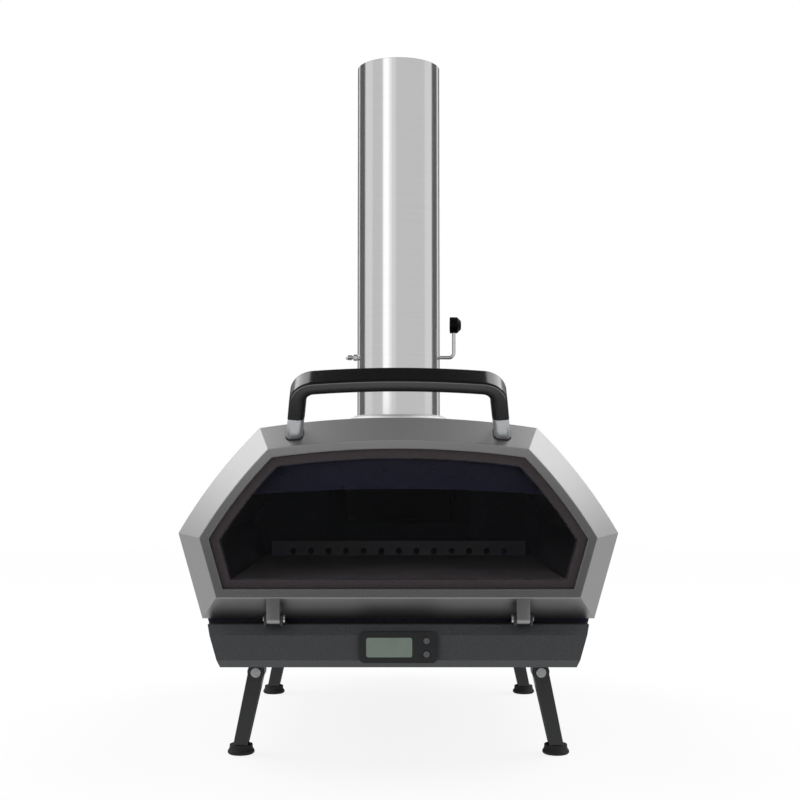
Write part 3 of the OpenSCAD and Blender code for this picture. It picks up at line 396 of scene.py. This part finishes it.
# Chimney collar: a ring spun from steel that holds the tube's foot on the crown. Its dull grey finish
# keeps the lines of the spinning.
low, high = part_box("chimney_tube")
flue_y = (low.y + high.y) / 2
spun, tree, shader, place = finish_of("spun grey steel", Metallic=1.0)
# spinning leaves a soft gloss in rings 1.5 mm apart about the flue; a wave is 2 pi / 20 of its unit long
centred = add(tree, "ShaderNodeMapping", {"Vector": place, "Location": (0, -flue_y, 0)})
spin = add(tree, "ShaderNodeTexWave",
           {"Vector": centred.outputs[0], "Scale": 2 * math.pi / 20 / 0.0015, "Distortion": 1.5},
           wave_type="RINGS", rings_direction="Z")
pattern(tree, shader, spin, ("#d0d1d1", "#dcdcdd"), (0.5, 0.6), 0.00003)
softened("collar_ring", "chimney_collar", 0.0005, spun)

# Collar screws: four zinc-plated button-head screws that fix the collar's flange to the shell. Each has a
# turned shank and a domed head with a hexagon socket pressed into it.
low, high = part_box("collar_screws")
shank_r, head_r, head_h, socket = 0.0015, 0.0032, 0.002, 0.0013
seat = high.z - head_h
circle_r = (high.x - head_r) * math.sqrt(2)
# rows run up the shank, over the dome to a hexagon of radius socket / cos((a mod 60) - 30), and down it
a = np.linspace(0, 2 * np.pi, 48, endpoint=False)
hexagon = socket / np.cos(a % (np.pi / 3) - np.pi / 6)
dome = np.array([(pole, low.z - seat), (shank_r, low.z - seat), (shank_r, 0), (head_r, 0),
                 (head_r, 0.0006), (0.0030, 0.0012), (0.0026, 0.0017), (0.0021, 0.00195)])
radius = np.concatenate([dome[:, :1] + 0 * a, [hexagon + 0.0001, hexagon, 0.96 * hexagon, pole + 0 * a]])
height = np.concatenate([dome[:, 1], [head_h, head_h - 0.0001, 0.0008, 0.0008]])[:, None] + 0 * a
screw = np.stack([radius * np.cos(a), radius * np.sin(a), height], -1)
spots = [(circle_r * math.cos(b), flue_y + circle_r * math.sin(b), seat)
         for b in np.radians([45, 135, 225, 315])]
surface("collar_socket_screws", [(screw + spot, False) for spot in spots], zinc, "oven",
        ["collar_screws"])

# Chimney: a stainless tube, rolled, seam-welded at the back and polished round and round. Its rim is
# turned smooth, it stands in the collar, and the damper's rod crosses it.
polished, tree, shader, place = finish_of("polished stainless steel", Metallic=1.0)
# polishing gives a mirror drawn out round the tube, in lines 80 mm long and 0.6 mm apart, coarser than the
# real 0.1 mm, so that they show
lines = add(tree, "ShaderNodeMapping", {"Vector": place, "Scale": (1 / 0.08, 1 / 0.08, 1 / 0.0006)})
rub = add(tree, "ShaderNodeTexNoise", {"Vector": lines.outputs[0], "Scale": 1.0, "Detail": 3.0})
pattern(tree, shader, rub, ("#bababa", "#bebebe"), (0.125, 0.155))
low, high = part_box("chimney_tube")
flue_r = (high.x - low.x) / 2
bore_r = flue_r - 0.001
wall = eased([(flue_r, low.z), (flue_r, high.z), (bore_r, high.z), (bore_r, low.z)],
             [0.0003, 0.0004, 0.0004, 0.0003])
round_steps = 256
tube = turned(wall, (0, 0, 0), steps=round_steps)
# the dressed weld stands 0.25 mm proud over 4 mm: r + h exp(-(arc / w)^2) on the outer wall
weld_h, weld_w = 0.00025, 0.002
arc = flue_r * (np.linspace(0, 2 * np.pi, round_steps, endpoint=False) - np.pi / 2)
weld = weld_h * np.exp(-(arc / weld_w) ** 2) * (wall[:, :1] > flue_r - 0.0002)
tube[..., :2] *= (1 + weld / wall[:, :1])[..., None]
chimney = surface("chimney", [(tube + (0, flue_y, 0), True)], polished, "oven",
                  ["chimney_tube"])

# Damper: a plate clipped to a bent rod that turns in the tube, held by a nut and a crimped cap. A knob of
# moulded black phenolic is pressed on to the lever.
dress(zinc, "damper_rod", "damper_plate", "damper_clips")
softened("damper_hex_nut", "damper_nut", 0.0002, zinc)
softened("damper_end_cap", "damper_cap", 0.0002, zinc)

phenolic, tree, shader, place = finish_of("black phenolic moulding", Specular_IOR_Level=0.06)
# phenolic is a dead black with next to no shine, and specks of wood flour 1.2 mm across
speck = add(tree, "ShaderNodeTexNoise", {"Vector": place, "Scale": 1 / 0.0012, "Detail": 2.0})
pattern(tree, shader, speck, ("#020202", "#050505"), (0.45, 0.55))
low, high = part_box("damper_knob")
knob_r, knob_len, cone = (high.z - low.z) / 2, high.x - low.x, 0.0055
outline = eased([(pole, 0), (knob_r, 0), (knob_r, knob_len - cone), (knob_r - cone, knob_len),
                 (pole, knob_len)], [0, 0.0008, 0.0008, 0.0008, 0])
spot = (low.x, (low.y + high.y) / 2, (low.z + high.z) / 2)
knob = surface("damper_grip", [(turned(outline, spot, axis="x"), False)], phenolic, "damper",
               ["damper_knob"])

# Door: an aluminium casting with sloping facets round a flat front ring, blasted and lacquered in satin
# pewter grey. The glass sits in a pocket behind the ring, and two lugs below turn on the hinge pins.
crown_half, crown_rise, crown_z = 0.171, 0.013, 0.424
crown_r = (crown_half ** 2 + crown_rise ** 2) / (2 * crown_rise)
shoulder_half, shoulder_z, side_r = 0.270, 0.282, 0.605
base_half, base_z, door_z = 0.223, 0.120, 0.178
ring_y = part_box("door_frame")[0].y


def oven_outline(inset, foot):
    """Closed outline of the oven's front for each inset from the door's edge, cut off at height foot.
    Crown and sides are arcs about fixed centres with their radii less the inset. They cross at
    a = (R1^2 - R2^2 + D^2) / 2D along the line of centres and sqrt(R1^2 - a^2) to the right of it. The
    flanks are straight lines moved in square to themselves, from a foot on the sill to where they meet
    the sides, at s = -b + sqrt(b^2 - c) along the climb."""
    crown_c = np.array([0, crown_z - crown_r])
    chord = np.array([shoulder_half - crown_half, shoulder_z - (crown_z - crown_rise)])
    across = np.array([chord[1], -chord[0]]) / np.hypot(*chord)
    side_c = np.array([crown_half, crown_z - crown_rise]) + chord / 2
    side_c = side_c + across * np.sqrt(side_r ** 2 - chord @ chord / 4)
    r1, r2 = crown_r - inset, side_r - inset
    gap = side_c - crown_c
    gap_len = np.hypot(*gap)
    unit = gap / gap_len
    a = (r1 ** 2 - r2 ** 2 + gap_len ** 2) / (2 * gap_len)
    h = np.sqrt(r1 ** 2 - a ** 2)
    corner = crown_c + a[:, None] * unit + h[:, None] * np.array([unit[1], -unit[0]])
    flare = np.arctan2(shoulder_half - base_half, shoulder_z - base_z)
    climb = np.array([np.sin(flare), np.cos(flare)])
    start = np.stack([shoulder_half - inset / np.cos(flare), shoulder_z + 0 * inset], -1)
    b = (start - side_c) @ climb
    c = ((start - side_c) ** 2).sum(1) - r2 ** 2
    bend = start + (-b + np.sqrt(b ** 2 - c))[:, None] * climb
    heel = np.stack([start[:, 0] + (foot - start[:, 1]) * np.tan(flare), foot], -1)
    # steps along each run, with one close to either end so that the ridges stay crisp
    t = np.concatenate([[0, 0.006], np.linspace(0.04, 0.96, 21), [0.994]])
    mitre = np.arctan2(corner[:, 1] - crown_c[1], corner[:, 0])
    angle = np.pi / 2 + (mitre - np.pi / 2)[:, None] * t
    crown = crown_c + r1[:, None, None] * np.stack([np.cos(angle), np.sin(angle)], -1)
    first, last = (np.arctan2(p[:, 1] - side_c[1], p[:, 0] - side_c[0]) for p in (corner, bend))
    angle = first[:, None] + (last - first)[:, None] * t
    side = side_c + r2[:, None, None] * np.stack([np.cos(angle), np.sin(angle)], -1)
    flank = bend[:, None] + (heel - bend)[:, None] * t[None, :, None]
    sill = heel[:, None] * np.stack([1 - t, 1 + 0 * t], -1)
    right = np.concatenate([crown, side, flank, sill], 1)
    middle = np.stack([0 * foot, foot], -1)[:, None]
    return np.concatenate([right, middle, right[:, :0:-1] * (-1, 1)], 1)


pewter, tree, shader, place = finish_of("satin pewter on cast aluminium", Metallic=1.0)
# pewter lacquer has a broad satin gloss; the blasted grain under it is drawn 1.1 mm across, coarser than
# the real 0.2 mm, so that it shows
blast = add(tree, "ShaderNodeTexNoise", {"Vector": place, "Scale": 1 / 0.0011, "Detail": 3.0})
pattern(tree, shader, blast, ("#8d8d8d", "#979797"), (0.4, 0.46), 0.00001)
# inset from the door's edge and depth behind its ring: the facet, the ring's inner lip, the tape's pocket,
# the ledge for the glass and the rim behind
facet_in, facet_d = 0.0285, 0.034
lip_in, lip_d = 0.0388, 0.006
pocket_in, pocket_d = 0.031, 0.014
ledge_in, ledge_d = 0.0233, 0.026
rim_in, rim_d, rim_step = 0.012, 0.044, 0.0005
inset, depth = eased(
    [(rim_step, rim_d), (rim_step, facet_d + rim_step), (0, facet_d), (facet_in, 0), (lip_in, 0),
     (lip_in, lip_d), (pocket_in, lip_d), (pocket_in, pocket_d), (ledge_in, pocket_d),
     (ledge_in, ledge_d), (rim_in, ledge_d), (rim_in, rim_d)],
    [0.0006, 0.0001, 0.0004, 0.0009, 0.0009, 0.0005, 0.0002, 0.0002, 0.0002, 0.0002, 0.0002, 0.0006],
    steps=5).T
loop = oven_outline(inset, door_z + inset)
frame_skin = np.stack([loop[..., 0], ring_y + depth[:, None] + 0 * loop[..., 0], loop[..., 1]], -1)
# a lug is a U about the pin, r (cos a, sin a) below and straight up into the facet, carried across its
# width and drawn in by up to a tenth at both ends
low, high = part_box("hinge_pins")
pin_y, pin_z = (low.y + high.y) / 2, (low.z + high.z) / 2
lug_x, lug_r, lug_top, lug_half = 0.15, 0.0065, 0.027, 0.008
a = np.linspace(-np.pi, 0, 25)
lug = np.concatenate([lug_r * np.stack([np.cos(a), np.sin(a)], -1), [(lug_r, lug_top), (-lug_r, lug_top)]])
lug = np.array([0.9, 0.97, 1, 1, 0.97, 0.9])[:, None, None] * lug
near_end = np.array([-lug_half, 0.0002 - lug_half, 0.0006 - lug_half])
across = np.concatenate([near_end, -near_end[::-1]])[:, None]
lug = np.stack([across + 0 * lug[..., 0], pin_y + lug[..., 0], pin_z + lug[..., 1]], -1)
surface("door_casting", [(frame_skin, True), (lug + (lug_x, 0, 0), False), (lug - (lug_x, 0, 0), False)],
        pewter, "door", ["door_frame"])

# Hinges: two brackets folded from powder-coated steel and fixed to the fascia. Headed, zinc-plated pins
# pass through them and the door's lugs.
softened("hinge_clevises", "hinge_brackets", 0.0004, coat)
softened("hinge_pivots", "hinge_pins", 0.0004, zinc)

# Door glass: a flat pane of ceramic glass between two tapes. A pressed steel ring and ten screws hold it
# in the casting.
pane_tint = linear("#dcdeee")
glass, tree, shader, place = finish_of("ceramic oven glass", Base_Color=pane_tint, Roughness=0.0, IOR=1.5,
                                       Transmission_Weight=1.0)
# the pane is clear with a breath of violet, and hazed by wiping streaks 40 mm long
streak = add(tree, "ShaderNodeTexNoise", {"Vector": place, "Scale": 1 / 0.04, "Detail": 3.0})
wiped = add(tree, "ShaderNodeMapRange", {"Value": streak.outputs["Fac"], "To Min": 0.0, "To Max": 0.02})
tree.links.new(wiped.outputs[0], shader.inputs["Roughness"])
# lamps shine through the pane into the chamber
lamp_ray = add(tree, "ShaderNodeLightPath").outputs["Is Shadow Ray"]
clear = add(tree, "ShaderNodeBsdfTransparent", {"Color": pane_tint})
pane = add(tree, "ShaderNodeMixShader", {0: lamp_ray, 1: shader.outputs[0], 2: clear.outputs[0]})
tree.links.new(pane.outputs[0], tree.nodes["Material Output"].inputs["Surface"])
dress(glass, "door_glass")
softened("glass_ring", "glass_retainer", 0.0003, tinted)
dress(zinc, "retainer_screws")

# Handle: a grip of black nylon, moulded as one flat-faced bar with two bends and a long bow. Its two satin
# aluminium posts stand on the top facet and lean with it.
softened("handle_feet", "handle_posts", 0.0005, satin)
handle_half, reach, post_h, handle_d = 0.1265, 0.0805, 0.0315, 0.018
thick, wide, lean = 0.0205, 0.027, math.radians(7.2)
bow_r, bend_r = 1.130, thick / 2 + 0.0105
facet_r = crown_r - facet_in * (1 - handle_d / facet_d)
handle_z = crown_z - crown_r + math.sqrt(facet_r ** 2 - handle_half ** 2)
# the middle line climbs from the post by s along up, bends about bend_c and bows about bow_c; the bend
# touches the leg and the bow, so that its centre lies bow_r - bend_r from the bow's
foot = np.array([handle_half, 0])
up = np.array([-math.sin(lean), math.cos(lean)])
inward = np.array([-math.cos(lean), -math.sin(lean)])
bow_c = np.array([0, reach - bow_r])
to_c = foot + bend_r * inward - bow_c
half_b = to_c @ up
rise = -half_b + math.sqrt(half_b ** 2 - to_c @ to_c + (bow_r - bend_r) ** 2)
bend_c = foot + rise * up + bend_r * inward
meet = math.acos(bend_c[0] / (bow_r - bend_r))
s = np.linspace(post_h, rise, 12)[:-1, None]
turn = np.linspace(lean, meet, 25)[:-1, None]
bow = np.linspace(meet, math.pi / 2, 30)[:, None]
line = np.concatenate([foot + s * up,
                       bend_c + bend_r * np.concatenate([np.cos(turn), np.sin(turn)], 1),
                       bow_c + bow_r * np.concatenate([np.cos(bow), np.sin(bow)], 1)])
facing = np.concatenate([lean + 0 * s, turn, bow])[:, 0]
line = np.concatenate([line, line[-2::-1] * (-1, 1)])
facing = np.concatenate([facing, math.pi - facing[-2::-1]])
# the bar's outline is carried along that line, square to it, and the whole leans back with the facet
bar = eased([(thick / 2, wide / 2), (-thick / 2, wide / 2), (-thick / 2, -wide / 2), (thick / 2, -wide / 2)],
            [0.0028, 0.0100, 0.0100, 0.0028], steps=13)
out = line[:, None] + bar[None, :, :1] * np.stack([np.cos(facing), np.sin(facing)], -1)[:, None]
front = np.broadcast_to(bar[None, :, 1], out.shape[:2])
tilt = math.pi / 2 + math.atan2(facet_in, facet_d)
grip = np.stack([out[..., 0],
                 ring_y + handle_d + out[..., 1] * math.cos(tilt) - front * math.sin(tilt),
                 handle_z + out[..., 1] * math.sin(tilt) + front * math.cos(tilt)], -1)
handle = surface("door_grip", [(grip, False)], nylon, "door", ["handle_grip"], sharp=40)


# Studio floor: painted white. Seen straight, mirrored or through glass it runs out into the white room
# 1.2 to 4 m from the oven, and near the oven it takes light and shadow as paint does.
def panel_of(name, corners, material):
    """Flat studio panel between four corners."""
    mesh = bpy.data.meshes.new(name)
    mesh.from_pydata(corners, [], [(0, 1, 2, 3)])
    mesh.materials.append(material)
    panel = bpy.data.objects.new(name, mesh)
    bpy.context.scene.collection.objects.link(panel)
    return panel


floor_white, tree, shader, place = finish_of("white painted floor", Base_Color=linear("#f4f4f4"),
                                             Roughness=0.6)
rays = add(tree, "ShaderNodeLightPath").outputs
seen = add(tree, "ShaderNodeMath", {0: rays["Is Camera Ray"], 1: rays["Is Glossy Ray"]},
           operation="MAXIMUM")
seen = add(tree, "ShaderNodeMath", {0: seen.outputs[0], 1: rays["Is Transmission Ray"]},
           operation="MAXIMUM")
far = add(tree, "ShaderNodeVectorMath", {0: place}, operation="LENGTH")
share = add(tree, "ShaderNodeMapRange", {"Value": far.outputs["Value"], "From Min": 1.2, "From Max": 4.0,
                                         "To Min": 0.86, "To Max": 1.0})
part = add(tree, "ShaderNodeMath", {0: seen.outputs[0], 1: share.outputs[0]}, operation="MULTIPLY")
white = add(tree, "ShaderNodeEmission", {"Color": linear("#ffffff"), "Strength": 1.0})
mixed = add(tree, "ShaderNodeMixShader", {0: part.outputs[0], 1: shader.outputs[0], 2: white.outputs[0]})
tree.links.new(mixed.outputs[0], tree.nodes["Material Output"].inputs["Surface"])
floor_half = 30.0
panel_of("studio_floor", [(-floor_half, -floor_half, 0), (floor_half, -floor_half, 0),
                          (floor_half, floor_half, 0), (-floor_half, floor_half, 0)], floor_white)

# Studio flags: upright felt panels out of the camera's sight. The grey ones draw the dark edges of the
# tube, and the dark one before the door keeps the glass clear.
grey_felt = finish_of("grey studio felt", Base_Color=linear("#7a7a7a"), Roughness=1.0,
                      Specular_IOR_Level=0.0)[0]
dark_felt = finish_of("dark studio felt", Base_Color=linear("#404040"), Roughness=1.0,
                      Specular_IOR_Level=0.0)[0]
for name, felt, near, away, foot, head in (
        ("flag_left", grey_felt, (-2.85, 3.25), (-4.25, 1.24), 0, 2.75),
        ("flag_right", grey_felt, (3.05, 3.06), (4.25, 1.16), 0, 2.75),
        ("flag_back", grey_felt, (-2.4, 4.2), (2.4, 4.2), 0, 2.75),
        ("flag_front", dark_felt, (-0.56, -0.8), (0.56, -0.8), 0.001, 0.381)):
    flag = panel_of(name, [(*near, foot), (*away, foot), (*away, head), (*near, head)], felt)
    flag.visible_camera = False
    flag.visible_diffuse = False
    flag.visible_shadow = False
# the bright tube and facet mirror the studio alone, not the dark grip and knob close to them
handle.visible_glossy = False
knob.visible_glossy = False

# Room: white walls all round that fade to a grey ceiling between 0.42 and 0.75 of the sky's height. They
# light the oven evenly from every side.
world = bpy.data.worlds.new("studio")
bpy.context.scene.world = world
world.use_nodes = True
tree = world.node_tree
way = add(tree, "ShaderNodeTexCoord").outputs["Generated"]
height = add(tree, "ShaderNodeSeparateXYZ", {"Vector": way}).outputs["Z"]
fade = add(tree, "ShaderNodeValToRGB", {"Fac": height})
for element, position, colour in zip(fade.color_ramp.elements, (0.42, 0.75), ("#ffffff", "#818181")):
    element.position = position
    element.color = linear(colour)
tree.links.new(fade.outputs["Color"], tree.nodes["Background"].inputs["Color"])


# Soft boxes: three strips side by side light the tube's left, a big box stands high at either side of the
# door, dim ones edge the tube, and one above fills. Accents shine on the grip alone, from just before the
# high boxes, because two lamps in one place count as one, and from below for its lower face.
def soft_box(name, spot, target, size, glow):
    """Area lamp at a spot, turned to the target. Its power is pi x area x radiance."""
    lamp = bpy.data.lights.new(name, "AREA")
    lamp.shape = "RECTANGLE"
    lamp.size, lamp.size_y = size
    lamp.energy = math.pi * size[0] * size[1] * glow
    held = bpy.data.objects.new(name, lamp)
    bpy.context.scene.collection.objects.link(held)
    held.location = spot
    held.rotation_euler = (Vector(target) - Vector(spot)).to_track_quat("-Z", "Y").to_euler()
    held.visible_camera = False
    return held


tube_spared = bpy.data.collections.new("out_of_the_high_boxes")
tube_spared.objects.link(chimney)
tube_spared.collection_objects[0].light_linking.link_state = "EXCLUDE"
grip_only = bpy.data.collections.new("in_the_accents")
grip_only.objects.link(handle)
lamp_z, lamp_tall, strip_far = 1.4, 1.8, 2.42
tube_aim, door_aim = (0, flue_y, lamp_z), (0, -0.33, 0.4)
for name, degrees, width, glow in (("strip_core", 34.8, 0.74, 1.0), ("strip_next", 22.5, 0.33, 0.5),
                                   ("strip_last", 13.0, 0.45, 0.2)):
    a = math.radians(degrees)
    spot = (-strip_far * math.sin(a), flue_y - strip_far * math.cos(a), lamp_z)
    soft_box(name, spot, tube_aim, (width, lamp_tall), glow)
accents = []
for name, side in (("left", -1), ("right", 1)):
    box = soft_box("high_" + name, (2.3 * side, 0.74, 3.0), door_aim, (3.0, 2.9), 2.9)
    box.light_linking.receiver_collection = tube_spared
    accents.append(soft_box("accent_" + name, (2.25 * side, 0.72, 2.95), door_aim, (3.0, 2.9), 4.3))
    soft_box("edge_" + name, (3.0 * side, 0.1, lamp_z), tube_aim, (1.7, lamp_tall), 0.2)
accents.append(soft_box("accent_low", (0, -0.655, 0.01), (0, -0.655, 1.0), (1.2, 0.3), 11.0))
for box in accents:
    box.light_linking.receiver_collection = grip_only
    box.visible_diffuse = False
fill = soft_box("fill_top", (0, -0.3, 2.6), (0, 0, 0), (2.4, 2.4), 0.5)
fill.visible_glossy = False

# Camera: straight before the oven at the height of the door, pitched up a little, with the chimney's rim
# and the door in its square frame.
focal_px, frame_px = 1250, 800
camera_far, camera_z, camera_side, pitch = 1.761, 0.371, 0.002, 2.77
lens = bpy.data.cameras.new("photo_view")
lens.sensor_width = 36.0
lens.lens = lens.sensor_width * focal_px / frame_px
view = bpy.data.objects.new("photo_view", lens)
bpy.context.scene.collection.objects.link(view)
view.location = (camera_side, flue_y - camera_far, camera_z)
view.rotation_euler = (math.radians(90 + pitch), 0, 0)
bpy.context.scene.camera = view
bpy.context.scene.view_settings.view_transform = "Standard"
